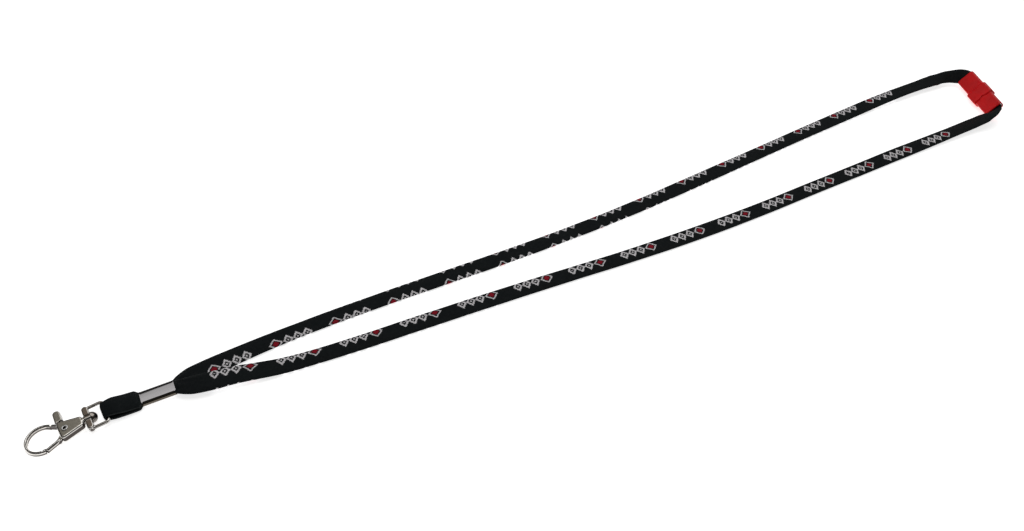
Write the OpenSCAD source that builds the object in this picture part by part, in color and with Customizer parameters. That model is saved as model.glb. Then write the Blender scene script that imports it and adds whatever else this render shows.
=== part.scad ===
// Neck lanyard with a swivel trigger hook and a breakaway buckle, lying flat on a table.
// Millimetres. +X runs from the hook to the buckle, +Z is up, the table is z = 0.

/* [Strap] */
// Width of the flattened strap
strap_w = 8.7; // [8.4:0.1:9.2]
// Thickness of the flattened strap
strap_t = 1.8; // [1.4:0.1:2]

/* [Ferrule] */
// Length of the crimped sleeve
ferrule_len = 14.8; // [13.8:0.1:15]
// Width of the crimped sleeve
ferrule_w = 7.7; // [7.7:0.1:8.6]
// Height of the crimped sleeve
ferrule_h = 3.5; // [3.5:0.1:3.8]
// Wall of the crimped sleeve
ferrule_wall = 0.4; // [0.3:0.05:0.4]

/* [Hook] */
// Inner radius of the claw
claw_inner_r = 5.8; // [5.7:0.1:5.9]
// Width of the claw's wire, seen from above
claw_wire = 1.4; // [1.3:0.1:1.6]
// Height of the claw's wire
claw_height = 2.8; // [2.6:0.1:3]
// Thickness of the hook's body plate
plate_t = 3.6; // [3.6:0.1:3.8]
// Angle that the trigger opens through
trigger_open = 28; // [10:1:28]

/* [Bow] */
// Diameter of the bow's wire
bow_wire = 1.5; // [1.4:0.1:1.6]
// Half of the bow's width, to the middle of its side wires
bow_half_w = 5.4; // [5.3:0.1:5.8]

/* [Buckle] */
// Width of the buckle's necks
neck_w = 10.5; // [10.4:0.1:10.8]
// Width of the buckle's collar
collar_w = 12.3; // [12.2:0.1:13]
// Thickness of the buckle's necks
neck_t = 4.2; // [4.2:0.1:4.3]
// Thickness of the buckle's collar
collar_t = 5.3; // [5.3:0.1:5.8]
// Length of the whole closed buckle
buckle_len = 34.5; // [34:0.1:35]

/* [Hidden] */
$fn = 48;

// --- placement on the table ---
ferrule_at = [-219.8, 1.9];      // middle of the sleeve
bow_at = [-241, 1.5];            // middle of the bow's strap bar
hook_turn = 5.5;                 // the hook's axis is turned this far about +Z
hook_pitch = 2.5;                // the claw rests on the table, and the bow is held up by the strap
bow_roll = 5;                    // the bow is rolled this far about the hook's axis
buckle_at = [265, -0.2];         // middle of the buckle
buckle_turn = -19;               // the buckle's axis is turned this far from +Y
buckle_roll = -50;               // the buckle lies on its inner edge, rolled about its own axis

// --- hook, along its own axis: the strap bar is 0 and the claw lies on the minus side ---
rivet_flange = 0.3;
hook_z = 3;                      // height of the strap bar's middle
claw_x = -26.2;                  // middle of the claw
claw_r = claw_inner_r + claw_wire / 2;
lever_x = -16.7;                 // the lever's rivet
lever_y = -0.4;
lever_hub_r = 2.3;
lever_t = 1.4;                   // the lever's hub, inside the slot
slot_t = 1.6;
tab_x = -1.45;                   // middle of the thumb tab, from the rivet
tab_r = 1.6;
tab_t = 3.4;
tab_tip_y = 9.4;
turn_r = 5.15;                   // the tab's inner end turns on this radius
gate_root = [-20.4, -4.5];
gate_end = [-25.2, -6.3];
gate_r = 0.75;
gate_t = 2.6;
shank_r = 0.95;                  // lever rivet
rivet_hole_r = 0.65;
rivet_head_r = 1.35;
run = 0.05;                      // running clearance on a radius
spring_r = 1.45;                 // middle of the spring's wire
spring_wire = 0.3;
pocket_r = 2;
pocket_t = 0.7;
boss_x = -8.85;                  // end of the hook's boss
boss_r = 1.75;
stud_r = 1;
stud_x = -13;                    // blind end of the stud
bar_x = -7.45;                   // middle of the bow's cross bar
bar_w = 2.7;
bar_h = 3.2;
bar_boss_r = 2.1;
head_r = 2.5;
head_gap = 0.05;
loop_r = 2.2;                    // strap wrapped round the strap bar
loop_half_w = 4.1;

// --- buckle, along its own axis: plug end at -buckle_len / 2, socket end at +buckle_len / 2 ---
buckle_z = collar_w / 2 * sin(-buckle_roll) + collar_t / 2 * cos(buckle_roll) - 0.33;
mouth_y = -5.5;                  // mouth of the collar
collar_end_y = 3.8;
shoulder_y = -3;                 // the plug's shoulder inside the collar
cavity_end_y = 6.5;
slot_w = 9.4;                    // strap slot
slot_low = -0.9;
slot_high = 1.5;
slot_len = 9;
lid_w = 8.6;
lid_len = 7.8;
lid_inset = 1;                   // from the strap end to the lid
lid_t = 1.1;
lid_gap = 0.1;

// --- routes of the two strands: x, y and z of the strap's middle ---
near_route = [[-219.8, 1.9, 2.4], [-212.2, 1.9, 2.4], [-210, 0.5, 2.9], [-206, -1.3, 3.1],
    [-198, -3, 3.1], [-188, -4.2, 2.9], [-178, -6, 2.3], [-168, -7.5, 1.5], [-152, -8.9, 1],
    [-132, -10.3, 1], [-107, -11.4, 1], [-82, -12.6, 1], [-57, -14, 1], [-27, -15.9, 1], [3, -18, 1],
    [33, -19.4, 1], [63, -20, 1], [93, -19.8, 1], [123, -18.9, 1], [153, -18.2, 1], [183, -17.4, 1.1],
    [208, -17.2, 1.5], [226, -17.3, 2.3], [240, -17.7, 3.4], [249, -18.2, 5], [254.5, -18.8, 6.4]];
far_route = [[-219.8, 1.9, 1.1], [-212.2, 1.9, 1.1], [-210, 3.6, 1.2], [-206, 4.8, 1.35],
    [-198, 6, 1.4], [-188, 7.2, 1.3], [-172, 8.7, 1.1], [-147, 9.9, 1], [-117, 10.2, 1], [-87, 9.9, 1],
    [-57, 9.5, 1], [-27, 9.5, 1], [3, 10.2, 1], [33, 11.8, 1], [63, 14.2, 1], [93, 16.9, 1],
    [123, 19.6, 1], [153, 22.2, 1.1], [183, 24.4, 1.4], [208, 25.8, 2], [226, 26.1, 2.7],
    [242, 26, 3], [254, 25.2, 3.7], [263, 22.8, 5]];
// half width, half thickness and roll of a strand against x
half_w_at = [[-212.2, 3], [-210, 4.2], [-205, 5], [-195, 5], [-180, 4.7], [-155, strap_w / 2],
             [243, strap_w / 2], [250, 4.6], [258, 4.4], [260, 3.9], [264, 3.9], [268, 4.4]];
half_t_at = [[-212.2, 0.6], [-208, 1.1], [-200, 1.2], [-170, strap_t / 2], [250, strap_t / 2], [258, 1]];
near_roll_at = [[190, 0], [226, -8], [240, -10], [249, -20], [256, -46]];
far_roll_at = [[200, 0], [214, -3], [232, -5], [244, -3], [252, 0], [257, 12], [262, 34], [268, 50]];
axis_dir = [-sin(buckle_turn), cos(buckle_turn), 0];
plug_face = buckle_point(-buckle_len / 2 - 0.05);
socket_face = buckle_point(buckle_len / 2 + 0.05);

function buckle_point(y) = [buckle_at[0], buckle_at[1], buckle_z] + y * axis_dir
    + (slot_low + slot_high) / 2 * [sin(buckle_roll) * cos(buckle_turn),
                                    sin(buckle_roll) * sin(buckle_turn), cos(buckle_roll)];
function unit(v) = v / norm(v);
function flat(v) = [v[0], v[1], 0];
function oval(t, p = 0.7) = [sign(cos(t)) * pow(abs(cos(t)), p), sign(sin(t)) * pow(abs(sin(t)), p)];

// ---------- shapes that several parts share ----------
module at_hook() {
    translate([bow_at[0], bow_at[1], hook_z]) rotate([0, -hook_pitch, hook_turn]) children();
}
module at_bow() {
    at_hook() rotate([bow_roll, 0, 0]) children();
}
module at_buckle() {
    translate([buckle_at[0], buckle_at[1], buckle_z]) rotate([0, 0, buckle_turn])
        rotate([0, buckle_roll, 0]) children();
}
// a round puck with rounded edges, centred on the origin
module puck(r, t, f) {
    rotate_extrude($fn = 32) polygon(concat([[0, -t / 2]],
        [for (a = [-90:30:0]) [r - f + f * cos(a), -t / 2 + f + f * sin(a)]],
        [for (a = [0:30:90]) [r - f + f * cos(a), t / 2 - f + f * sin(a)]], [[0, t / 2]]));
}
// a plate with round corners and rounded edges between two opposite corners
module soft_plate(low, high, r, t, f) {
    hull() for (x = [low[0] + r, high[0] - r], y = [low[1] + r, high[1] - r])
        translate([x, y, 0]) puck(r, t, f);
}
// a stadium outline lying across X, standing in Z
module sleeve_outline(w, h) {
    square([w - h, h], center = true);
    for (s = [-1, 1]) translate([s * (w - h) / 2, 0]) circle(d = h);
}
module along_x(x0, x1) {
    translate([x0, 0, 0]) rotate([90, 0, 90]) linear_extrude(x1 - x0) children();
}
// a flat strap swept along a route, with its last section square to end_dir
module strand(route, roll_at, end_point, end_dir) {
    pts = concat(route, [end_point]);
    n = len(pts);
    sides = 10;
    dirs = [for (i = [0:n - 1]) i == 0 ? [1, 0, 0] : i == n - 1 ? end_dir
            : unit(flat(pts[i + 1] - pts[i - 1]))];
    ring = [for (i = [0:n - 1], k = [0:sides - 1])
        let (o = oval(k * 360 / sides), x = pts[i][0], turn = lookup(x, roll_at),
             across = [-dirs[i][1], dirs[i][0], 0], up = [0, 0, 1])
        pts[i] + o[0] * lookup(x, half_w_at) * (cos(turn) * across + sin(turn) * up)
            + o[1] * lookup(x, half_t_at) * (cos(turn) * up - sin(turn) * across)];
    sidewalls = [for (i = [0:n - 2], k = [0:sides - 1]) let (m = (k + 1) % sides)
        [i * sides + k, i * sides + m, (i + 1) * sides + m, (i + 1) * sides + k]];
    polyhedron(ring, concat(sidewalls, [[for (k = [sides - 1:-1:0]) k]],
        [[for (k = [0:sides - 1]) (n - 1) * sides + k]]), convexity = 6);
}

// ---------- hook ----------
module claw_profile() {
    edge = 0.62;
    square([claw_wire, claw_height - 2 * edge], center = true);
    square([claw_wire - 2 * edge, claw_height], center = true);
    for (x = [-1, 1], y = [-1, 1])
        translate([x * (claw_wire / 2 - edge), y * (claw_height / 2 - edge)]) circle(r = edge, $fn = 24);
}
module claw() {
    start = 45;
    nose = 271.3;
    root_t = 2.4;
    translate([claw_x, 0, 0]) rotate([0, 0, start]) rotate_extrude(angle = nose - start, $fn = 96)
        translate([claw_r, 0]) claw_profile();
    translate([0, 0, -root_t / 2]) linear_extrude(root_t)
        polygon([[-22.7, 4.9], [-22.2, 5.6], [-18.6, 3.6], [-18.6, 1.9]]);
}
// room for the gate's tip at the claw's nose
module nose_notch() {
    translate([0, 0, -claw_height])
        linear_extrude(2 * claw_height) polygon([[-25.6, -6.4], [-27.3, -6.4], [-28, -5], [-25.6, -5]]);
}
module body_plate() {
    r = 1.3;
    hull() for (p = [[-18.4, 3.1], [-18, -3.6], [-10.7, 1.2], [-10.7, -1.7]])
        translate([p[0], p[1], 0]) puck(r, plate_t, 0.8);
}
// the slot in the middle of the plate, swept over the lever's travel
module lever_slot() {
    translate([lever_x, lever_y, -slot_t / 2]) linear_extrude(slot_t) {
        circle(r = lever_hub_r + 0.2);
        for (a = [0:7:trigger_open]) rotate(-a) {
            translate([tab_x - 1.4, 0]) square([2.8, 7]);
            rotate(228) translate([0, -1.1]) square([5, 2.2]);
        }
    }
}
// the tab's inner end turns past the plate's corner here
module tab_relief() {
    far_r = 7;
    translate([lever_x, lever_y, -plate_t]) linear_extrude(2 * plate_t) intersection() {
        difference() {
            circle(r = far_r);
            circle(r = turn_r - 0.1);
        }
        polygon([[0, 0], for (a = [58:16:122]) 2 * far_r * [cos(a), sin(a)]]);
    }
}
module hook_body() {
    color("silver") at_hook() difference() {
        union() {
            difference() {
                body_plate();
                tab_relief();
            }
            rotate([0, 90, 0]) translate([0, 0, stud_x]) cylinder(r = boss_r, h = boss_x - stud_x);
            difference() {
                claw();
                nose_notch();
            }
        }
        lever_slot();
        translate([lever_x, lever_y, -plate_t]) cylinder(r = shank_r, h = 2 * plate_t);
        translate([lever_x, lever_y, -slot_t / 2 - pocket_t]) cylinder(r = pocket_r, h = pocket_t + 0.1);
        rotate([0, 90, 0]) translate([0, 0, stud_x]) cylinder(r = stud_r, h = 6);
    }
}
module trigger_lever() {
    color("lightgrey") at_hook() difference() {
        union() {
            translate([lever_x, lever_y, 0]) {
                cylinder(r = lever_hub_r, h = lever_t, center = true);
                translate([tab_x - 1.2, 0, -lever_t / 2]) cube([2.4, 6, lever_t]);
                rotate([0, 0, 228]) translate([0, -0.9, -lever_t / 2]) cube([5.4, 1.8, lever_t]);
                difference() {
                    hull() for (y = [5.4, tab_tip_y]) translate([tab_x, y, 0]) puck(tab_r, tab_t, 0.5);
                    cylinder(r = turn_r, h = 2 * tab_t, center = true);
                }
            }
            hull() for (p = [gate_root, gate_end])
                translate([p[0], p[1], 0]) puck(gate_r, gate_t, 0.45);
            translate([0, 0, -1]) linear_extrude(2)
                polygon([gate_end + [0.2, 0], [-27.1, -6.3], [-27.1, -5.6], gate_end + [0, 0.72]]);
        }
        translate([lever_x, lever_y, -plate_t]) cylinder(r = shank_r + run, h = 2 * plate_t);
    }
}
module lever_rivet() {
    color("gainsboro") at_hook() translate([lever_x, lever_y, 0]) difference() {
        union() {
            cylinder(r = shank_r, h = plate_t, center = true);
            for (s = [-1, 1]) translate([0, 0, s * plate_t / 2 + (s - 1) / 2 * rivet_flange])
                cylinder(r = rivet_head_r, h = rivet_flange);
        }
        cylinder(r = rivet_hole_r, h = 2 * plate_t, center = true);
    }
}
// torsion spring round the rivet, in the pocket below the lever
module lever_spring() {
    turns = 1.2;
    steps = 24;
    sides = 6;
    pitch = 0.31;
    path = [for (i = [0:steps]) let (a = i / steps * turns * 360)
        [spring_r * cos(a), spring_r * sin(a), i / steps * turns * pitch]];
    ring = [for (i = [0:steps], k = [0:sides - 1])
        let (a = i / steps * turns * 360, t = k * 360 / sides)
        path[i] + spring_wire / 2 * (cos(t) * [cos(a), sin(a), 0] + sin(t) * [0, 0, 1])];
    walls = [for (i = [0:steps - 1], k = [0:sides - 1]) let (m = (k + 1) % sides)
        [i * sides + k, (i + 1) * sides + k, (i + 1) * sides + m, i * sides + m]];
    color("dimgrey") at_hook()
        translate([lever_x, lever_y, -slot_t / 2 - pocket_t + spring_wire / 2 + 0.03])
        polyhedron(ring, concat(walls, [[for (k = [0:sides - 1]) k]],
            [[for (k = [sides - 1:-1:0]) steps * sides + k]]), convexity = 6);
}

// ---------- bow and its stud ----------
module swivel_bow() {
    r = bow_wire / 2;
    bend = 1.7;
    straight = bow_half_w - bend;
    color("silver") at_bow() difference() {
        union() {
            hull() for (s = [-1, 1]) translate([bar_x, s * (bow_half_w - 0.9), 0])
                puck(bar_w / 2, bar_h, 0.5);
            rotate([0, 90, 0]) translate([0, 0, bar_x - bar_w / 2]) cylinder(r = bar_boss_r, h = bar_w);
            rotate([90, 0, 0]) cylinder(r = r, h = 2 * straight, center = true);
            for (s = [-1, 1]) {
                translate([-bend, s * bow_half_w, 0]) rotate([0, -90, 0]) cylinder(r = r, h = -bar_x - bend);
                translate([-bend, s * straight, 0]) rotate([0, 0, s > 0 ? 0 : -90])
                    rotate_extrude(angle = 90) translate([bend, 0]) circle(r = r);
            }
            // ends of the wires, flattened into the cross bar
            for (s = [-1, 1]) translate([bar_x, s * (bow_half_w - 0.1), 0]) rotate([90, 0, 0])
                cylinder(r = r + 0.2, h = 1.8, center = true);
        }
        rotate([0, 90, 0]) translate([0, 0, bar_x - bar_w]) cylinder(r = stud_r + run, h = 2 * bar_w);
    }
}
module swivel_rivet() {
    face = bar_x + bar_w / 2 + head_gap;
    color("gainsboro") at_hook() rotate([0, 90, 0]) {
        translate([0, 0, stud_x]) cylinder(r = stud_r, h = face - stud_x);
        translate([0, 0, face]) intersection() {
            sphere(r = head_r);
            cylinder(r = head_r, h = head_r);
        }
    }
}

// ---------- strap and sleeve ----------
module hook_loop() {
    end_x = ferrule_at[0] - 0.15;
    mouth_x = ferrule_at[0] - ferrule_len / 2;
    color("#101517") difference() {
        union() {
            hull() {
                at_bow() rotate([90, 0, 0]) cylinder(r = loop_r, h = 2 * loop_half_w, center = true, $fn = 32);
                translate([mouth_x - 5.6, bow_at[1], hook_z - 0.4]) scale([1, 1, 0.46]) rotate([90, 0, 0])
                    cylinder(r = 5, h = 8.6, center = true, $fn = 32);
                translate([0, ferrule_at[1], ferrule_h / 2]) along_x(mouth_x - 0.6, mouth_x - 0.1)
                    sleeve_outline(8, 3.5);
            }
            translate([0, ferrule_at[1], ferrule_h / 2]) along_x(mouth_x - 0.4, end_x)
                sleeve_outline(6.6, 2.6);
        }
        at_bow() rotate([90, 0, 0]) cylinder(r = bow_wire / 2 + 0.06, h = 20, center = true);
        // the folded webbing opens a little at both ends, where the bow's corners turn
        for (s = [0, 180]) at_bow() rotate([90, 0, s]) translate([0, 0, 3.4])
            cylinder(r1 = bow_wire / 2 + 0.06, r2 = 1.8, h = 1.1);
    }
}
module ferrule() {
    color("lightslategrey") translate([0, ferrule_at[1], ferrule_h / 2])
        along_x(ferrule_at[0] - ferrule_len / 2, ferrule_at[0] + ferrule_len / 2) difference() {
            sleeve_outline(ferrule_w, ferrule_h);
            sleeve_outline(ferrule_w - 2 * ferrule_wall, ferrule_h - 2 * ferrule_wall);
        }
}
module neck_strap_near() {
    color("#101517") strand(near_route, near_roll_at, plug_face, axis_dir);
}
module neck_strap_far() {
    color("#101517") strand(far_route, far_roll_at, socket_face, -axis_dir);
}

// ---------- buckle ----------
// the strap's slot and the lid's recess, at a buckle half whose strap end is at y = 0
module clamp_cavity() {
    translate([-slot_w / 2, -slot_len, slot_low]) cube([slot_w, slot_len + 1, slot_high - slot_low]);
    translate([-lid_w / 2 - lid_gap, -lid_inset - lid_len - lid_gap, -neck_t])
        cube([lid_w + 2 * lid_gap, lid_len + 2 * lid_gap, neck_t]);
}
module clamp_lid() {
    translate([-lid_w / 2, -lid_inset - lid_len, -neck_t / 2]) cube([lid_w, lid_len, lid_t]);
    for (i = [0:2]) translate([-lid_w / 2, -lid_inset - 1.6 - 2.2 * i, -neck_t / 2 + lid_t])
        rotate([90, 0, 90]) linear_extrude(lid_w) polygon([[-0.6, -0.01], [0.6, -0.01], [0, 0.6]]);
}
module box(x, y0, y1, z) {
    translate([-x, y0, -z]) cube([2 * x, y1 - y0, 2 * z]);
}
module buckle_socket() {
    color("firebrick") at_buckle() difference() {
        union() {
            soft_plate([-neck_w / 2, 0], [neck_w / 2, buckle_len / 2], 1.4, neck_t, 0.8);
            soft_plate([-collar_w / 2, mouth_y], [collar_w / 2, collar_end_y], 1.2, collar_t, 0.8);
        }
        box(neck_w / 2 + 0.15, mouth_y - 1, shoulder_y, neck_t / 2 + 0.1);
        box(4.7, mouth_y, cavity_end_y, 1.45);
        box(5.1, -1, 2.6, 1.45);
        // shallow V in the mouth's upper and lower lips
        translate([0, mouth_y, -collar_t]) linear_extrude(2 * collar_t)
            polygon([[-3.6, -1], [0, 1.5], [3.6, -1]]);
        translate([0, buckle_len / 2, 0]) clamp_cavity();
    }
}
module socket_clamp_lid() {
    color("darkred") at_buckle() translate([0, buckle_len / 2, 0]) clamp_lid();
}
module buckle_plug() {
    prong_t = 1.3;
    color("firebrick") at_buckle() difference() {
        union() {
            soft_plate([-neck_w / 2, -buckle_len / 2], [neck_w / 2, shoulder_y - 0.1], 1.4, neck_t, 0.8);
            for (s = [-1, 1]) translate([s * 3.5, 0, -prong_t]) linear_extrude(2 * prong_t)
                polygon([[-0.9, shoulder_y - 1], [0.9, shoulder_y - 1], [0.9, 4.4], [0.4, 5.2], [-0.4, 5.2],
                         [-0.9, 4.4]]);
            for (s = [-1, 1]) translate([s * 4.1, 1, -prong_t]) cylinder(r = 0.52, h = 2 * prong_t, $fn = 24);
            box(1.3, shoulder_y - 1, 3.4, prong_t);
        }
        translate([0, -buckle_len / 2, 0]) rotate([0, 0, 180]) clamp_cavity();
    }
}
module plug_clamp_lid() {
    color("darkred") at_buckle() translate([0, -buckle_len / 2, 0]) rotate([0, 0, 180]) clamp_lid();
}

hook_body();
trigger_lever();
lever_rivet();
lever_spring();
swivel_bow();
swivel_rivet();
hook_loop();
ferrule();
neck_strap_near();
neck_strap_far();
buckle_socket();
socket_clamp_lid();
buckle_plug();
plug_clamp_lid();
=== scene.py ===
"""Looks of a neck lanyard that lies on a table: strap, crimp, swivel trigger hook and safety buckle.

Metres, in the CAD model's own frame: +X runs from the hook to the buckle, +Z is up, the table is z = 0.
"""

import math

import bmesh
import bpy
import numpy as np
from mathutils import Matrix, Vector


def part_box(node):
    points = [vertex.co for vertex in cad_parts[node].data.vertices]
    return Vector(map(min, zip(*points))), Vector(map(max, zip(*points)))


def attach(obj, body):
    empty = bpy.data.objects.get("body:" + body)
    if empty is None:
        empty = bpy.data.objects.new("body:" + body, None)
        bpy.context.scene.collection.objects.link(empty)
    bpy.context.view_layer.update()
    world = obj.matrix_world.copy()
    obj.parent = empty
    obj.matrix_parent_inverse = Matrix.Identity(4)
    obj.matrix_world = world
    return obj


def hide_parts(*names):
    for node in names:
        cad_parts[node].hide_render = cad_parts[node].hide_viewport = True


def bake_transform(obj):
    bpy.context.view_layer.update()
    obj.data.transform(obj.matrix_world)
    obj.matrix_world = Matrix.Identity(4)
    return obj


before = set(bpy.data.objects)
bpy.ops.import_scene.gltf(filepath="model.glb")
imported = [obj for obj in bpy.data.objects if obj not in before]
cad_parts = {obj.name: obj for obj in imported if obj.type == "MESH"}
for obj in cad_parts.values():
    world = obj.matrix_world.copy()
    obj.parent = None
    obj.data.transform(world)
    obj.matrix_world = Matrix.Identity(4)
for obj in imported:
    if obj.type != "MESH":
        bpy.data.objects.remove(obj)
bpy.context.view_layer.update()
MM = 0.001

# ---------------------------------------------------------------- camera
CAMERA_AT = Vector((-0.19123, -0.27647, 0.31430))
CAMERA_AZIMUTH = 27.1  # turned this far from +Y towards +X
CAMERA_DOWN = 45.0
LENS_MM = 31.64


def make_camera():
    data = bpy.data.cameras.new("camera")
    data.sensor_width = 36
    data.lens = LENS_MM
    data.clip_start = 0.01
    data.clip_end = 20
    cam = bpy.data.objects.new("camera", data)
    bpy.context.scene.collection.objects.link(cam)
    cam.location = CAMERA_AT
    turn, down = math.radians(CAMERA_AZIMUTH), math.radians(CAMERA_DOWN)
    ahead = Vector((math.sin(turn) * math.cos(down), math.cos(turn) * math.cos(down), -math.sin(down)))
    cam.rotation_euler = ahead.to_track_quat("-Z", "Y").to_euler()
    bpy.context.scene.camera = cam


make_camera()


# ---------------------------------------------------------------- node helper
class Shader:
    """A material with a Principled shader, and short ways to wire values into it."""

    def __init__(self, name, **constants):
        self.material = bpy.data.materials.new(name)
        self.material.use_nodes = True
        self.tree = self.material.node_tree
        self.main = self.tree.nodes["Principled BSDF"]
        for socket, value in constants.items():
            self.main.inputs[socket.replace("_", " ")].default_value = value

    def node(self, kind, **settings):
        made = self.tree.nodes.new("ShaderNode" + kind)
        for key, value in settings.items():
            setattr(made, key, value)
        return made

    def wire(self, value, socket):
        if isinstance(value, bpy.types.NodeSocket):
            self.tree.links.new(value, socket)
        else:
            socket.default_value = value

    def math(self, operation, a, b=0.0, c=0.0):
        made = self.node("Math", operation=operation)
        for value, socket in zip((a, b, c), made.inputs):
            self.wire(value, socket)
        return made.outputs[0]

    def mix(self, factor, a, b):
        """Colour a where factor is 0 and b where it is 1."""
        made = self.node("Mix", data_type="RGBA")
        self.wire(factor, made.inputs["Factor"])
        self.wire(a, made.inputs[6])
        self.wire(b, made.inputs[7])
        return made.outputs[2]

    def scale(self, value, low, high, to_low, to_high):
        made = self.node("MapRange")
        for v, socket in zip((value, low, high, to_low, to_high), made.inputs):
            self.wire(v, socket)
        return made.outputs[0]

    def place(self, stretch=(1, 1, 1)):
        """Object coordinates in metres, stretched."""
        at = self.node("TexCoord").outputs["Object"]
        mapping = self.node("Mapping")
        self.wire(at, mapping.inputs["Vector"])
        mapping.inputs["Scale"].default_value = stretch
        return mapping.outputs[0]

    def noise(self, scale, detail=3.0, at=None, roughness=0.5):
        made = self.node("TexNoise")
        self.wire(at if at is not None else self.place(), made.inputs["Vector"])
        made.inputs["Scale"].default_value = scale
        made.inputs["Detail"].default_value = detail
        made.inputs["Roughness"].default_value = roughness
        return made.outputs["Fac"]

    def bump(self, height, distance, strength=1.0, after=None):
        made = self.node("Bump")
        self.wire(height, made.inputs["Height"])
        made.inputs["Distance"].default_value = distance
        made.inputs["Strength"].default_value = strength
        if after is not None:
            self.wire(after, made.inputs["Normal"])
        return made.outputs["Normal"]

    def set(self, socket, value):
        self.wire(value, self.main.inputs[socket])


def rgb(red, green, blue):
    """A screen colour from 0 to 255, as Blender's linear one."""
    def linear(c):
        c /= 255
        return c / 12.92 if c <= 0.04045 else ((c + 0.055) / 1.055) ** 2.4
    return (linear(red), linear(green), linear(blue), 1)


# ---------------------------------------------------------------- strap
MOTIF_PITCH = 28.7 * MM  # from one woven figure to the next
THREAD_U = 0.42 * MM  # thread spacing along the strap
THREAD_V = 0.36 * MM  # thread spacing across it
ROW_PITCH = 10.65 * MM  # round the tube, between its two rows of figures; half way round it is 9.5
FIGURES = 15  # along each strand
SMALL_LONG = 4.6  # a small lozenge's length, mm: three stand in a row
SMALL_COUNT = 3
LARGE_AT = 17.4  # the large lozenge's middle, from the figure's start, mm
LARGE_HALF_LONG = 3.1  # mm
LOZENGE_HALF_HIGH = 3.1  # mm
STRAP_BLACK = rgb(17, 23, 25)
# painted shade: the colour the strap takes down in its weave's grooves
PAINTED_GROOVE_SHADE = rgb(8, 12, 14)
RUBBED_BLACK = rgb(22, 29, 31)
THREAD_WHITE = rgb(252, 249, 252)
THREAD_RED = rgb(160, 18, 40)


def strap_material(name, figures):
    """Woven polyester, with fine threads and, where figures is true, rows of white and red lozenges."""
    s = Shader(name, Specular_IOR_Level=0.14, Sheen_Weight=0.02, Sheen_Roughness=0.4)
    uv = s.node("UVMap", uv_map="strap").outputs[0]
    split = s.node("SeparateXYZ")
    s.wire(uv, split.inputs[0])
    along = s.math("MULTIPLY", split.outputs[0], MOTIF_PITCH / MM)  # millimetres
    across = s.math("MULTIPLY", split.outputs[1], ROW_PITCH / MM)
    turn_u = s.math("MULTIPLY", along, 2 * math.pi * MM / THREAD_U)
    turn_v = s.math("MULTIPLY", across, 2 * math.pi * MM / THREAD_V)
    half_u = s.math("MULTIPLY", turn_u, 0.5)
    weave = s.math("MULTIPLY", s.math("SINE", half_u), s.math("SINE", turn_v))
    ribs = s.math("ABSOLUTE", s.math("SINE", half_u))
    height = s.math("ADD", s.math("MULTIPLY", weave, 0.5), s.math("MULTIPLY", ribs, 0.6))
    fuzz = s.noise(900, 4, roughness=0.65)
    broad = s.noise(60, 2)
    # darker down in the weave's grooves: painted shade
    colour = s.mix(s.scale(height, -0.4, 1.0, 0, 1), PAINTED_GROOVE_SHADE, STRAP_BLACK)
    colour = s.mix(s.math("MULTIPLY", s.scale(broad, 0.35, 0.7, 0, 1), 0.35), colour, RUBBED_BLACK)
    if figures:
        u = s.math("SNAP", along, THREAD_U / MM)
        v = s.math("SNAP", across, THREAD_V / MM)
        repeat = s.math("FLOOR", s.math("DIVIDE", u, MOTIF_PITCH / MM))
        inside = s.math("COMPARE", repeat, (FIGURES - 1) / 2, FIGURES / 2 - 0.4)
        m = s.math("WRAP", u, MOTIF_PITCH / MM, 0.0)
        row = s.math("WRAP", v, ROW_PITCH / MM / 2, -ROW_PITCH / MM / 2)
        tall = s.math("DIVIDE", s.math("ABSOLUTE", row), LOZENGE_HALF_HIGH)

        def lozenge(centre_x, half_w):
            return s.math("ADD", s.math("DIVIDE", s.math("ABSOLUTE", centre_x), half_w), tall)

        in_row = s.math("LESS_THAN", m, SMALL_COUNT * SMALL_LONG)
        in_cell = s.math("WRAP", m, SMALL_LONG, 0.0)
        small = lozenge(s.math("SUBTRACT", in_cell, SMALL_LONG / 2), SMALL_LONG / 2)
        ring = s.math("MULTIPLY", s.math("GREATER_THAN", small, 0.56), s.math("LESS_THAN", small, 1.0))
        dot = s.math("LESS_THAN", small, 0.2)
        white = s.math("MULTIPLY", s.math("MAXIMUM", ring, dot), in_row)
        large = lozenge(s.math("SUBTRACT", m, LARGE_AT), LARGE_HALF_LONG)
        edging = s.math("MULTIPLY", s.math("GREATER_THAN", large, 0.78), s.math("LESS_THAN", large, 1.04))
        white = s.math("MULTIPLY", s.math("MAXIMUM", white, edging), inside)
        red = s.math("MULTIPLY", s.math("LESS_THAN", large, 0.52), inside)
        worn = s.scale(fuzz, 0.3, 0.6, 0.7, 1.0)
        shade = s.scale(height, -0.4, 1.0, 0.82, 1.0)
        colour = s.mix(s.math("MULTIPLY", s.math("MULTIPLY", white, worn), shade), colour, THREAD_WHITE)
        colour = s.mix(s.math("MULTIPLY", s.math("MULTIPLY", red, worn), shade), colour, THREAD_RED)
        raised = s.math("MULTIPLY", s.math("ADD", white, red), 0.5)
        height = s.math("ADD", height, raised)
    s.set("Base Color", colour)
    s.set("Roughness", s.scale(fuzz, 0.3, 0.7, 0.62, 0.85))
    woven = s.bump(height, 0.09 * MM, 0.7)
    s.set("Normal", s.bump(fuzz, 0.12 * MM, 0.5, after=woven))
    return s.material


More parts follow.
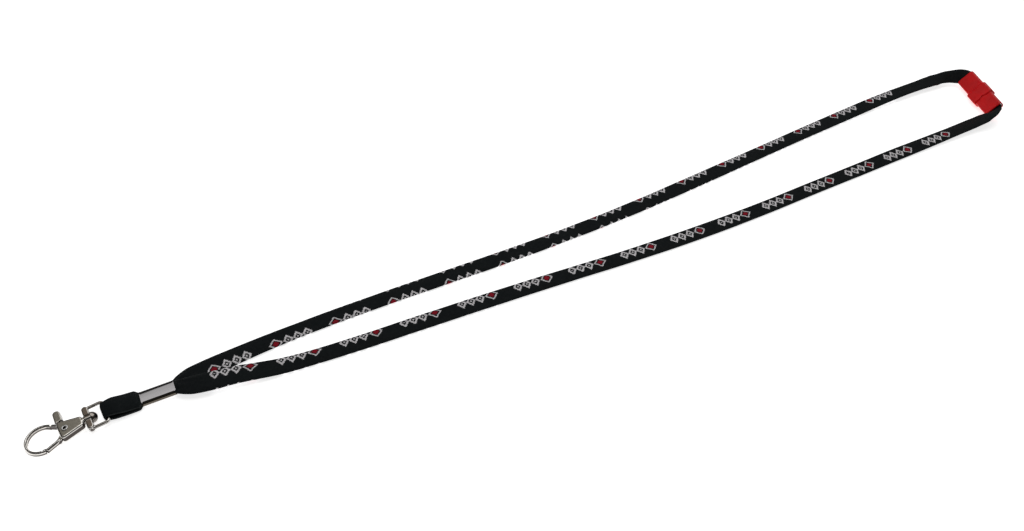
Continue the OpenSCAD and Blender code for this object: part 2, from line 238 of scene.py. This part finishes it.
# The strands' routes: the CAD source's points, with small shifts where the near one turns up to the plug.
NEAR_ROUTE = [
    (-0.2198, 0.0019, 0.0024), (-0.2122, 0.0019, 0.0024), (-0.21, 0.0005, 0.0029),
    (-0.206, -0.0013, 0.0031), (-0.198, -0.003, 0.0031), (-0.188, -0.0042, 0.0029),
    (-0.178, -0.006, 0.0023), (-0.168, -0.0075, 0.0015), (-0.152, -0.0089, 0.001),
    (-0.132, -0.0103, 0.001), (-0.107, -0.0114, 0.001), (-0.082, -0.0126, 0.001),
    (-0.057, -0.014, 0.001), (-0.027, -0.0159, 0.001), (0.003, -0.018, 0.001),
    (0.033, -0.0194, 0.001), (0.063, -0.02, 0.001), (0.093, -0.0198, 0.001),
    (0.123, -0.0189, 0.001), (0.153, -0.0182, 0.001), (0.183, -0.0174, 0.0011),
    (0.208, -0.0172, 0.0015), (0.226, -0.0173, 0.0023), (0.24, -0.0177, 0.0034),
    (0.249, -0.0183, 0.0049), (0.2532, -0.0187, 0.0067)]
FAR_ROUTE = [
    (-0.2198, 0.0019, 0.0011), (-0.2122, 0.0019, 0.0011), (-0.21, 0.0036, 0.0012),
    (-0.206, 0.0048, 0.00135), (-0.198, 0.006, 0.0014), (-0.188, 0.0072, 0.0013),
    (-0.172, 0.0087, 0.0011), (-0.147, 0.0099, 0.001), (-0.117, 0.0102, 0.001),
    (-0.087, 0.0099, 0.001), (-0.057, 0.0095, 0.001), (-0.027, 0.0095, 0.001),
    (0.003, 0.0102, 0.001), (0.033, 0.0118, 0.001), (0.063, 0.0142, 0.001), (0.093, 0.0169, 0.001),
    (0.123, 0.0196, 0.001), (0.153, 0.0222, 0.0011), (0.183, 0.0244, 0.0014),
    (0.208, 0.0258, 0.002), (0.226, 0.0261, 0.0027), (0.242, 0.026, 0.003),
    (0.254, 0.0252, 0.0037), (0.263, 0.0228, 0.005)]
HALF_WIDTH = [
    (-0.2122, 0.003), (-0.21, 0.0042), (-0.205, 0.005), (-0.195, 0.005), (-0.18, 0.0047), (-0.155, 0.00435),
    (0.243, 0.00435), (0.25, 0.0046), (0.254, 0.0046), (0.258, 0.0038), (0.264, 0.0039), (0.268, 0.0044)]
HALF_THICK = [
    (-0.2122, 0.0006), (-0.208, 0.0011), (-0.2, 0.0012), (-0.17, 0.0009), (0.25, 0.0009),
    (0.258, 0.001)]
NEAR_ROLL = [(0.19, 0), (0.226, -7), (0.24, -7), (0.249, -14), (0.256, -46)]
FAR_ROLL = [
    (0.2, 0), (0.214, -3), (0.232, -5), (0.244, -3), (0.252, 0), (0.257, 12), (0.262, 34), (0.268, 50)]
# how far the first row of figures lies off the middle of the strap's top, against x
NEAR_DRIFT = [
    (-0.2, 0.0026), (-0.13, 0.0026), (-0.07, 0.002), (-0.03, 0.0014), (0.01, 0.0008), (0.05, 0.0003),
    (0.12, 0), (0.2, -0.0006)]
FAR_DRIFT = [
    (-0.19, -0.0031), (-0.16, -0.0037), (-0.132, -0.0042), (-0.077, -0.0052), (-0.019, -0.0062),
    (0.043, -0.0072), (0.1, -0.0079), (0.2, -0.0086)]

# The buckle's own frame, as in the CAD source.
BUCKLE_TURN = math.radians(-19)
BUCKLE_ROLL = math.radians(-50)
BUCKLE_LENGTH = 34.5 * MM
COLLAR_W, COLLAR_T = 12.3 * MM, 5.3 * MM
BUCKLE_Z = COLLAR_W / 2 * math.sin(-BUCKLE_ROLL) + COLLAR_T / 2 * math.cos(BUCKLE_ROLL) - 0.33 * MM
BUCKLE = Matrix.Translation((0.265, -0.0002, BUCKLE_Z)) @ Matrix.Rotation(BUCKLE_TURN, 4, "Z") \
    @ Matrix.Rotation(BUCKLE_ROLL, 4, "Y")
SLOT_MIDDLE = 0.3 * MM  # height of the strap's slot in the buckle

STEP = 1.0 * MM  # from ring to ring along a strand
SIDES = 44
TUBE_ROUND_W, TUBE_ROUND_T = 0.8, 0.62  # the tube's outline across and up: 1 is an oval, 0 a box
CRIMP_MOUTH_X = -0.2124  # where the strands leave the crimp
STRAP_HALF_WIDTH = 4.4 * MM
GATHER_FADES = 7 * MM  # how soon the crimp's pleats run out
FOLD_HIGH = 0.10 * MM  # soft folds of the woven tube
PLEAT_HIGH = 0.22 * MM  # pleats where the crimp gathers it
DRAWN_IN = 0.16 * MM  # how far its two sides draw together along the middle


def table(pairs, x):
    return float(np.interp(x, [p[0] for p in pairs], [p[1] for p in pairs]))


def curve_through(points, step):
    """Evenly spaced points on a smooth curve through the given ones."""
    p = [Vector(q) for q in points]
    p = [2 * p[0] - p[1]] + p + [2 * p[-1] - p[-2]]
    fine = []
    for a, b, c, d in zip(p, p[1:], p[2:], p[3:]):
        ta = (b - a).length ** 0.5
        tb = ta + (c - b).length ** 0.5
        tc = tb + (d - c).length ** 0.5
        for i in range(24):
            t = ta + (tb - ta) * i / 24
            ab = a * (ta - t) / ta + b * t / ta
            bc = b * (tb - t) / (tb - ta) + c * (t - ta) / (tb - ta)
            cd = c * (tc - t) / (tc - tb) + d * (t - tb) / (tc - tb)
            left = ab * (tb - t) / tb + bc * t / tb
            right = bc * (tc - t) / (tc - ta) + cd * (t - ta) / (tc - ta)
            fine.append(left * (tb - t) / (tb - ta) + right * (t - ta) / (tb - ta))
    fine.append(p[-2])
    line = np.array(fine)
    along = np.concatenate([[0], np.cumsum(np.linalg.norm(np.diff(line, axis=0), axis=1))])
    count = max(2, round(along[-1] / step))
    at = np.linspace(0, along[-1], count + 1)
    return [Vector([np.interp(t, along, line[:, k]) for k in range(3)]) for t in at], at


def tube_section(half_w, half_t):
    """The flattened tube's outline, with its running length, from the middle of its top towards +across."""
    points = []
    for i in range(SIDES):
        a = math.pi / 2 - 2 * math.pi * i / SIDES
        x = math.copysign(abs(math.cos(a)) ** TUBE_ROUND_W, math.cos(a)) * half_w
        z = math.copysign(abs(math.sin(a)) ** TUBE_ROUND_T, math.sin(a)) * half_t
        points.append((x, z))
    lengths = [0.0]
    for a, b in zip(points, points[1:] + points[:1]):
        lengths.append(lengths[-1] + math.hypot(b[0] - a[0], b[1] - a[1]))
    return points, lengths


def new_object(name, mesh):
    obj = bpy.data.objects.new(name, mesh)
    bpy.context.scene.collection.objects.link(obj)
    return obj


def skin(name, rings, uv_of):
    """A closed mesh over rings of points, capped at both ends.

    uv_of gives (ring, side, second half of the way round) its place on the strap.
    """
    bm = bmesh.new()
    layer = bm.loops.layers.uv.new("strap")
    rows = [[bm.verts.new(p) for p in ring] for ring in rings]
    sides = len(rings[0])
    for i in range(len(rows) - 1):
        for k in range(sides):
            m = (k + 1) % sides
            face = bm.faces.new((rows[i][k], rows[i][m], rows[i + 1][m], rows[i + 1][k]))
            face.smooth = True
            for loop, (ring, side) in zip(face.loops, ((i, k), (i, k + 1), (i + 1, k + 1), (i + 1, k))):
                loop[layer].uv = uv_of(ring, side, k >= sides / 2)
    bm.faces.new(rows[0][::-1])
    bm.faces.new(rows[-1])
    bmesh.ops.recalc_face_normals(bm, faces=bm.faces)
    mesh = bpy.data.meshes.new(name)
    bm.to_mesh(mesh)
    bm.free()
    return new_object(name, mesh)


def ripple(along, around, seed):
    """Small soft folds of a hand-laid woven tube, from -1 to 1."""
    a = math.sin(along / 0.0173 + seed) * math.sin(along / 0.0071 + 2.1 * seed + 2 * around)
    b = math.sin(along / 0.0311 + 1.7 * seed + around)
    return 0.5 * a + 0.5 * b


def strand(name, route, roll, end, figures_from, drift, way, seed):
    """One strand of the strap, from inside the crimp to inside one half of the buckle.

    end is the side of the buckle's middle that the half lies on, -1 or 1. figures_from is where the first
    figure starts after the crimp, and drift tells how far its row lies off the middle. way is 1 or -1, as the
    figures read from or to the crimp. seed sets the folds apart from the other strand's.
    """
    half = end * BUCKLE_LENGTH / 2
    inside = [BUCKLE @ Vector((0, half + end * d, SLOT_MIDDLE)) for d in (0.0004, -0.003, -0.006)]
    centres, at = curve_through(route + [tuple(p) for p in inside], STEP)
    mouth = next(d for c, d in zip(centres, at) if c.x > CRIMP_MOUTH_X)
    rings, uvs = [], []
    for i, (c, d) in enumerate(zip(centres, at)):
        ahead = centres[min(i + 1, len(centres) - 1)] - centres[max(i - 1, 0)]
        ahead = Vector((ahead.x, ahead.y, 0)).normalized()
        across = Vector((-ahead.y, ahead.x, 0))
        turn = math.radians(table(roll, c.x))
        side = across * math.cos(turn) + Vector((0, 0, math.sin(turn)))
        up = Vector((0, 0, math.cos(turn))) - across * math.sin(turn)
        section, lengths = tube_section(table(HALF_WIDTH, c.x), table(HALF_THICK, c.x))
        gather = math.exp(-(d - mouth) / GATHER_FADES) if d > mouth else 0
        free = min(1, max(0, (d - mouth) / (10 * MM)))
        ring = []
        for x, z in section:
            around = x / STRAP_HALF_WIDTH
            lift = FOLD_HIGH * free * ripple(d, 2 * around, seed)
            lift += PLEAT_HIGH * gather * math.cos(9 * around + seed)
            dip = -DRAWN_IN * free * (1 - min(1, abs(around)) ** 2)
            z += math.copysign(1, z) * (lift + dip) * min(1, abs(z) / (0.4 * MM))
            x *= 1 + 0.018 * free * math.sin(d / 0.021 + 3 * seed)
            ring.append(c + side * x + up * z)
        rings.append(ring)
        shift = table(drift, c.x) / ROW_PITCH
        cycles = (d - mouth - figures_from) / MOTIF_PITCH
        cycles = cycles if way > 0 else FIGURES - cycles
        uvs.append((cycles, [v / ROW_PITCH - shift for v in lengths], lengths[-1] / ROW_PITCH))
    for ring in rings:
        lift = 0.05 * MM - min(p.z for p in ring)
        if lift > 0:
            for p in ring:
                p.z += lift
    obj = skin(name, rings, lambda i, k, back: (uvs[i][0], uvs[i][1][k] - back * uvs[i][2]))
    return obj, centres, float(at[-1])


def make_straps():
    woven = strap_material("woven_figured_strap", True)
    near, near_path, near_length = strand(
        "near_strap", NEAR_ROUTE, NEAR_ROLL, -1, figures_from=14.5 * MM, drift=NEAR_DRIFT, way=1, seed=0.4)
    far, far_path, far_length = strand(
        "far_strap", FAR_ROUTE, FAR_ROLL, 1, figures_from=6.2 * MM, drift=FAR_DRIFT, way=-1, seed=2.3)
    for obj in (near, far):
        obj.data.materials.append(woven)
    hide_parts("neck_strap_near")
    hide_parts("neck_strap_far")
    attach(far, "strap")
    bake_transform(near)


make_straps()

# ---------------------------------------------------------------- hook frame, as in the CAD source
HOOK = Matrix.Translation((-0.241, 0.0015, 0.003)) @ Matrix.Rotation(math.radians(5.5), 4, "Z") \
    @ Matrix.Rotation(math.radians(-2.5), 4, "Y")
BOW = HOOK @ Matrix.Rotation(math.radians(5), 4, "X")
FERRULE_W, FERRULE_H, FERRULE_WALL = 7.7 * MM, 3.5 * MM, 0.4 * MM


def make_hook_loop():
    """The strap's middle, folded round the bow: out of the crimp below, round the wire and back above."""
    low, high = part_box("ferrule")
    y = (low.y + high.y) / 2
    bar = BOW.translation
    bend_r = 1.42 * MM
    path = [
        Vector((low.x + 6 * MM, y, 1.1 * MM)), Vector((low.x + 0.5 * MM, y, 1.1 * MM)),
        Vector((low.x - 2.5 * MM, y - 0.2 * MM, 1.15 * MM)),
        Vector((low.x - 6.5 * MM, y - 0.3 * MM, 1.3 * MM)),
        Vector((bar.x + 3 * MM, bar.y + 0.1 * MM, bar.z - 1.5 * MM))]
    for a in range(-60, 61, 20):
        t = math.radians(a)
        path.append(Vector((bar.x - bend_r * math.cos(t), bar.y, bar.z + bend_r * math.sin(t))))
    path += [
        Vector((bar.x + 3 * MM, bar.y + 0.1 * MM, bar.z + 1.45 * MM)),
        Vector((low.x - 6.5 * MM, y - 0.3 * MM, 3.65 * MM)),
        Vector((low.x - 2.5 * MM, y - 0.2 * MM, 3.1 * MM)),
        Vector((low.x + 0.5 * MM, y, 2.45 * MM)), Vector((low.x + 6 * MM, y, 2.45 * MM))]
    centres, at = curve_through([tuple(p) for p in path], 0.5 * MM)
    total = at[-1]
    rings, uvs = [], []
    for i, (c, d) in enumerate(zip(centres, at)):
        ahead = (centres[min(i + 1, len(centres) - 1)] - centres[max(i - 1, 0)]).normalized()
        from_bend = abs(d - total / 2) / MM
        in_crimp = min(1, max(0, (c.x - low.x + 1.2 * MM) / (1.8 * MM)))
        half_w = float(np.interp(from_bend, [0, 2, 5, 9], [3.75, 4.1, 4.6, 4.75])) * MM
        half_t = float(np.interp(from_bend, [0, 2.5, 5, 9], [0.55, 0.75, 1.15, 1.2])) * MM
        half_w = half_w * (1 - in_crimp) + 3.0 * MM * in_crimp
        half_t = half_t * (1 - in_crimp) + 0.6 * MM * in_crimp
        near_bend = max(0, 1 - from_bend / 9)
        turned, rolled = math.sin(math.radians(-5.5)) * near_bend, math.sin(math.radians(5) * near_bend)
        across = Vector((turned, 1, rolled)).normalized()
        across = (across - ahead * across.dot(ahead)).normalized()
        up = ahead.cross(across)
        section, lengths = tube_section(half_w, half_t)
        ring = []
        for x, z in section:
            around = x / half_w
            lift = 0.08 * MM * ripple(d + 0.03, 2 * around, 1.1) * (1 - in_crimp)
            z += math.copysign(1, z) * lift * min(1, abs(z) / (0.3 * MM))
            ring.append(c + across * x + up * z)
        rings.append(ring)
        uvs.append((d / MOTIF_PITCH, [v / ROW_PITCH for v in lengths]))
    for ring in rings:
        for p in ring:
            p.z = max(p.z, 0.04 * MM)
    obj = skin("hook_loop_strap", rings, lambda i, k, back: (uvs[i][0], uvs[i][1][k]))
    obj.data.materials.append(strap_material("woven_plain_strap", False))
    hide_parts("hook_loop")
    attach(obj, "strap")


make_hook_loop()


# ---------------------------------------------------------------- hard parts
def level(s):
    """How far a face lies level with the hook's plate, from 0 to 1."""
    facing = s.node("VectorMath", operation="DOT_PRODUCT")
    s.wire(s.node("TexCoord").outputs["Normal"], facing.inputs[0])
    facing.inputs[1].default_value = (HOOK.to_3x3() @ Vector((0, 0, 1))).normalized()
    return s.math("ABSOLUTE", facing.outputs["Value"])


def metal(name, colour, roughness, worn=0.12, side=(0.2, 0.185, 0.17, 1)):
    """Plated metal with faint handling marks, a little duller in patches and darker on its upright sides,
    where the side colour is painted shade.
    """
    s = Shader(name, Metallic=1.0)
    patches = s.noise(220, 3)
    marks = s.noise(2600, 5, roughness=0.7)
    tone = s.mix(s.scale(patches, 0.3, 0.7, 0, 1), colour, tuple(c * 0.86 for c in colour[:3]) + (1,))
    # upright sides take the side colour: painted shade
    s.set("Base Color", s.mix(s.scale(level(s), 0.12, 0.42, 0, 1), side, tone))
    dull = s.math("ADD", s.scale(patches, 0.3, 0.75, roughness, roughness + worn),
                  s.scale(marks, 0.45, 0.75, 0, 0.1))
    s.set("Roughness", dull)
    s.set("Normal", s.bump(marks, 0.02 * MM, 0.35))
    return s.material


def cast_metal(name, flat_from, dark, light, bright):
    """Plated casting: bright where it is round, near black on its upright sides as painted shade, and a
    rougher satin on level faces past flat_from along X whose dark colour is painted shade.
    """
    s = Shader(name, Metallic=1.0)
    lying = level(s)
    at = s.node("SeparateXYZ")
    s.wire(s.node("TexCoord").outputs["Object"], at.inputs[0])
    plate = s.scale(at.outputs[0], flat_from - 0.3 * MM, flat_from + 0.3 * MM, 0, 1)
    # level faces past flat_from: a rougher satin, its dark colour painted shade
    flat = s.math("MULTIPLY", s.scale(lying, 0.93, 0.99, 0, 1), plate)
    patches = s.noise(240, 3)
    grain = s.noise(2400, 4, roughness=0.7)
    satin_and_painted_shade = s.mix(s.scale(grain, 0.35, 0.65, 0, 1), dark, light)
    shine_and_painted_side_shade = s.mix(s.scale(patches, 0.3, 0.7, 0, 1), (bright, 0.97 * bright, 0.93 * bright, 1),
                  (0.85 * bright, 0.82 * bright, 0.77 * bright, 1))
    # upright sides near black: painted shade
    shine_and_painted_side_shade = s.mix(s.scale(lying, 0.06, 0.34, 0, 1), (0.07, 0.06, 0.056, 1), shine_and_painted_side_shade)
    s.set("Base Color", s.mix(flat, shine_and_painted_side_shade, satin_and_painted_shade))
    s.set("Roughness", s.math("ADD", s.scale(flat, 0, 1, 0.05, 0.34), s.scale(patches, 0.35, 0.75, 0, 0.08)))
    s.set("Normal", s.bump(grain, 0.01 * MM, 0.3))
    return s.material


def sleeve_metal(name, painted_shade_tones):
    """Polished sheet metal, its grey painted by facing: the tones given set it against how far a face looks
    towards +Y, from -1 to 1, as painted bands of shade and highlight, and faces looking down get a pale
    painted highlight.
    """
    s = Shader(name, Metallic=1.0)
    normal = s.node("SeparateXYZ")
    s.wire(s.node("TexCoord").outputs["Normal"], normal.inputs[0])
    ramp = s.node("ValToRGB")
    s.wire(s.scale(normal.outputs[1], -1, 1, 0, 1), ramp.inputs[0])
    stops = ramp.color_ramp.elements
    for i, (facing, tone) in enumerate(painted_shade_tones):
        stop = stops[i] if i < 2 else stops.new(1.0)
        stop.position = (facing + 1) / 2
        stop.color = (*tone, 1)
    # faces looking down: a pale painted highlight
    under = s.scale(normal.outputs[2], -0.6, -0.45, 0, 1)
    marks = s.noise(1800, 5, at=s.place((0.04, 1, 1)), roughness=0.7)
    tone = s.mix(s.scale(marks, 0.4, 0.7, 0, 0.3), ramp.outputs[0], rgb(110, 106, 104))
    s.set("Base Color", s.mix(under, rgb(196, 192, 190), tone))
    s.set("Roughness", s.scale(marks, 0.4, 0.75, 0.07, 0.2))
    s.set("Normal", s.bump(marks, 0.01 * MM, 0.3))
    return s.material


def plastic(name, colour, dark):
    """Glossy moulded plastic: a slight orange peel, fine scratches and a deeper tone in patches."""
    s = Shader(name, Specular_IOR_Level=0.35, Coat_Weight=0.06, Coat_Roughness=0.15, IOR=1.49)
    patches = s.noise(130, 3)
    peel = s.noise(1500, 2)
    scratch = s.noise(3000, 6, at=s.place((1, 0.08, 1)), roughness=0.7)
    s.set("Base Color", s.mix(s.scale(patches, 0.3, 0.7, 0, 1), colour, dark))
    s.set("Roughness", s.scale(scratch, 0.35, 0.75, 0.26, 0.42))
    rough = s.bump(peel, 0.03 * MM, 0.25)
    s.set("Normal", s.bump(scratch, 0.01 * MM, 0.4, after=rough))
    return s.material


# The stud's dark grey is painted shade; each metal's side colour is painted shade on its upright sides.
NICKEL_STUD = metal("stud_nickel", (0.3, 0.27, 0.24, 1), 0.06, worn=0.06)
RIVET = metal("rivet_nickel", (0.86, 0.85, 0.83, 1), 0.12, worn=0.08, side=(0.1, 0.09, 0.08, 1))
# The castings' dark and light colours on level faces are painted shade; the bow's flat_from takes in the
# whole bow.
NICKEL_CAST = cast_metal(
    "cast_nickel", flat_from=-0.261, dark=rgb(126, 121, 110), light=rgb(158, 152, 140), bright=0.9)
NICKEL_BOW = cast_metal(
    "bow_nickel", flat_from=-1, dark=rgb(84, 75, 66), light=rgb(112, 102, 92), bright=0.72)
SPRING = metal("spring_wire", (0.3, 0.3, 0.31, 1), 0.3)
# The sleeve's greys by facing: painted shade, a dark painted line and a painted highlight band.
SLEEVE = sleeve_metal("polished_sleeve", [
    (-1, (0.11, 0.095, 0.075)), (-0.5, (0.15, 0.13, 0.105)), (-0.42, (0.05, 0.045, 0.04)),
    (-0.33, (0.3, 0.29, 0.295)), (0, (0.24, 0.233, 0.237)), (0.3, (0.16, 0.155, 0.16)),
    (1, (0.1, 0.09, 0.09))])
RED = plastic("red_plastic", rgb(220, 8, 16), rgb(198, 6, 14))


OVAL_WIDTH = 1.2  # an oval wire's width at its waist, for its box section's width of 1
OVAL_EDGE = 0.12  # squared, how wide it still is at its top and bottom
CLAW_MIDDLE, CLAW_RADIUS = Vector((-26.2 * MM, 0, 0)), 6.5 * MM
CLAW_FROM, CLAW_TO = 52, 290  # degrees round the claw's middle
GATE_ROOT, GATE_END = Vector((-20.4 * MM, -4.5 * MM, 0)), Vector((-25.2 * MM, -6.3 * MM, 0))


def oval(u, w, half_w, half_h, edge):
    """Moves a point of a wire's rounded-box section, u across and w up, onto an oval one."""
    over = abs(w) - (half_h - edge)
    now = half_w if over < 0 else half_w - edge + math.sqrt(max(edge * edge - over * over, 0))
    want = OVAL_WIDTH * half_w * math.sqrt(max(1 - (w / half_h) ** 2, OVAL_EDGE))
    return u * want / max(now, 0.3 * half_w)


def oval_claw(p):
    """p in the hook's frame. The claw is an oval wire on a circle."""
    out = Vector((p.x, p.y, 0)) - CLAW_MIDDLE
    turn = math.degrees(math.atan2(out.y, out.x)) % 360
    u = out.length - CLAW_RADIUS
    if not CLAW_FROM < turn < CLAW_TO or abs(u) > 0.9 * MM:
        return p
    share = min(1, (turn - CLAW_FROM) / 20)
    moved = CLAW_RADIUS + u + share * (oval(u, p.z, 0.7 * MM, 1.4 * MM, 0.62 * MM) - u)
    return CLAW_MIDDLE + out.normalized() * moved + Vector((0, 0, p.z))


def oval_gate(p):
    """p in the hook's frame. The trigger's gate is a straight oval bar."""
    ahead = (GATE_END - GATE_ROOT).normalized()
    beside = Vector((-ahead.y, ahead.x, 0))
    at = (p - GATE_ROOT).dot(ahead)
    u = (p - GATE_ROOT).dot(beside)
    if not 0 < at < (GATE_END - GATE_ROOT).length + 0.3 * MM or abs(u) > 0.8 * MM:
        return p
    return p + beside * min(1, at / MM) * (oval(u, p.z, 0.75 * MM, 1.3 * MM, 0.45 * MM) - u)


def soften(node, name, body, material, voxel, rounds, reshape=None):
    """A finely meshed copy of a CAD node, its edges eased as casting, plating or moulding eases them.

    voxel is the mesh's grain in millimetres, rounds how often it is smoothed, and reshape moves a point of it
    in the hook's frame.
    """
    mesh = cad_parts[node].data.copy()
    obj = new_object(name, mesh)
    bm = bmesh.new()
    bm.from_mesh(mesh)
    bmesh.ops.remove_doubles(bm, verts=bm.verts, dist=0.002 * MM)
    bm.to_mesh(mesh)
    bm.free()
    mesh.materials.clear()
    remesh = obj.modifiers.new("fine", "REMESH")
    remesh.mode = "VOXEL"
    remesh.voxel_size = voxel * MM
    remesh.use_smooth_shade = True
    smooth = obj.modifiers.new("ease", "SMOOTH")
    smooth.factor = 0.5
    smooth.iterations = rounds
    bpy.context.view_layer.update()
    done = bpy.data.meshes.new_from_object(obj.evaluated_get(bpy.context.evaluated_depsgraph_get()))
    obj.modifiers.clear()
    obj.data = done
    if reshape:
        back = HOOK.inverted()
        for vertex in done.vertices:
            vertex.co = HOOK @ reshape(back @ vertex.co)
    for polygon in done.polygons:
        polygon.use_smooth = True
    done.materials.clear()
    done.materials.append(material)
    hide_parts(node)
    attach(obj, body)


def make_hook():
    soften("hook_body", "hook_casting", "hook", NICKEL_CAST, voxel=0.11, rounds=5,
           reshape=oval_claw)
    soften("trigger_lever", "trigger", "trigger", NICKEL_CAST, voxel=0.1, rounds=6,
           reshape=oval_gate)
    soften("swivel_bow", "bow", "bow", NICKEL_BOW, voxel=0.1, rounds=4)
    soften("lever_rivet", "trigger_rivet", "hook", RIVET, voxel=0.06, rounds=4)
    soften("swivel_rivet", "swivel_stud", "hook", NICKEL_STUD, voxel=0.1, rounds=2)
    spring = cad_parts["lever_spring"]
    spring.data.materials.clear()
    spring.data.materials.append(SPRING)


def make_sleeve():
    """The crimp: a short flat tube of sheet metal, with rolled lips and its seam on the underside."""
    low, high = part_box("ferrule")
    y = (low.y + high.y) / 2
    sides, steps, lip_steps = 96, 24, 8
    lip = FERRULE_WALL / 2
    squareness = 0.8  # of the sleeve's outline: 1 is an oval, 0 a box
    seam_half, seam_deep = 0.16 * MM, 0.22 * MM

    def ring(x, inset, seam):
        w, h = FERRULE_W / 2 - inset, FERRULE_H / 2 - inset
        points = []
        for k in range(sides):
            t = 2 * math.pi * (k + 0.5) / sides
            u = math.copysign(abs(math.cos(t)) ** squareness, math.cos(t)) * w
            v = math.copysign(abs(math.sin(t)) ** squareness, math.sin(t)) * h
            if seam and abs(u) < seam_half and v < 0:
                v += seam_deep
            points.append(Vector((x, y + u, FERRULE_H / 2 + v)))
        return points

    rings = []
    for i in range(lip_steps + 1):
        a = math.pi * i / lip_steps
        rings.append(ring(low.x + lip * (1 - math.sin(a)), lip * (1 + math.cos(a)), False))
    for i in range(steps + 1):
        rings.append(ring(low.x + lip + (high.x - low.x - 2 * lip) * i / steps, 0, True))
    for i in range(lip_steps + 1):
        a = math.pi * i / lip_steps
        rings.append(ring(high.x - lip * (1 - math.sin(a)), lip * (1 - math.cos(a)), False))
    bm = bmesh.new()
    rows = [[bm.verts.new(p) for p in points] for points in rings]
    for a, b in zip(rows, rows[1:] + rows[:1]):
        for k in range(sides):
            m = (k + 1) % sides
            bm.faces.new((a[k], a[m], b[m], b[k])).smooth = True
    bmesh.ops.recalc_face_normals(bm, faces=bm.faces)
    mesh = bpy.data.meshes.new("crimp_sleeve")
    bm.to_mesh(mesh)
    bm.free()
    obj = new_object("crimp_sleeve", mesh)
    mesh.materials.append(SLEEVE)
    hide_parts("ferrule")
    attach(obj, "strap")


def make_buckle():
    soften("buckle_socket", "socket_half", "strap", RED, voxel=0.13, rounds=4)
    soften("buckle_plug", "plug_half", "plug", RED, voxel=0.13, rounds=4)
    soften("socket_clamp_lid", "socket_lid", "strap", RED, voxel=0.13, rounds=2)
    soften("plug_clamp_lid", "plug_lid", "plug", RED, voxel=0.13, rounds=2)


make_hook()
make_sleeve()
make_buckle()


# ---------------------------------------------------------------- stage and light
def make_floor():
    s = Shader("pale_table", Roughness=0.9, Specular_IOR_Level=0.1, Emission_Color=(1, 1, 1, 1),
               Emission_Strength=0.76)
    s.set("Base Color", s.mix(s.noise(6, 2), (0.93, 0.93, 0.93, 1), (0.96, 0.96, 0.96, 1)))
    bm = bmesh.new()
    half = 3.0
    corners = [(-half, -half), (half, -half), (half, half), (-half, half)]
    bm.faces.new([bm.verts.new((x, y, -0.02 * MM)) for x, y in corners])
    mesh = bpy.data.meshes.new("table_top")
    bm.to_mesh(mesh)
    bm.free()
    floor = new_object("table_top", mesh)
    mesh.materials.append(s.material)


def area_light(name, at, aim, size, power):
    data = bpy.data.lights.new(name, "AREA")
    data.shape = "RECTANGLE"
    data.size, data.size_y = size
    data.energy = power
    light = new_object(name, data)
    light.location = at
    light.rotation_euler = (Vector(aim) - Vector(at)).to_track_quat("-Z", "Y").to_euler()


def make_light():
    """A big softbox overhead in a dim room: metal mirrors the table, the softbox and the dark between."""
    world = bpy.data.worlds.new("dim_room")
    world.use_nodes = True
    world.node_tree.nodes["Background"].inputs["Color"].default_value = (1, 0.97, 0.92, 1)
    world.node_tree.nodes["Background"].inputs["Strength"].default_value = 0.06
    bpy.context.scene.world = world
    area_light("softbox", at=(0.187, 0.367, 1.02), aim=(0, 0, 0), size=(1.6, 1.3), power=9)
    bpy.context.scene.view_settings.view_transform = "Standard"


make_floor()
make_light()
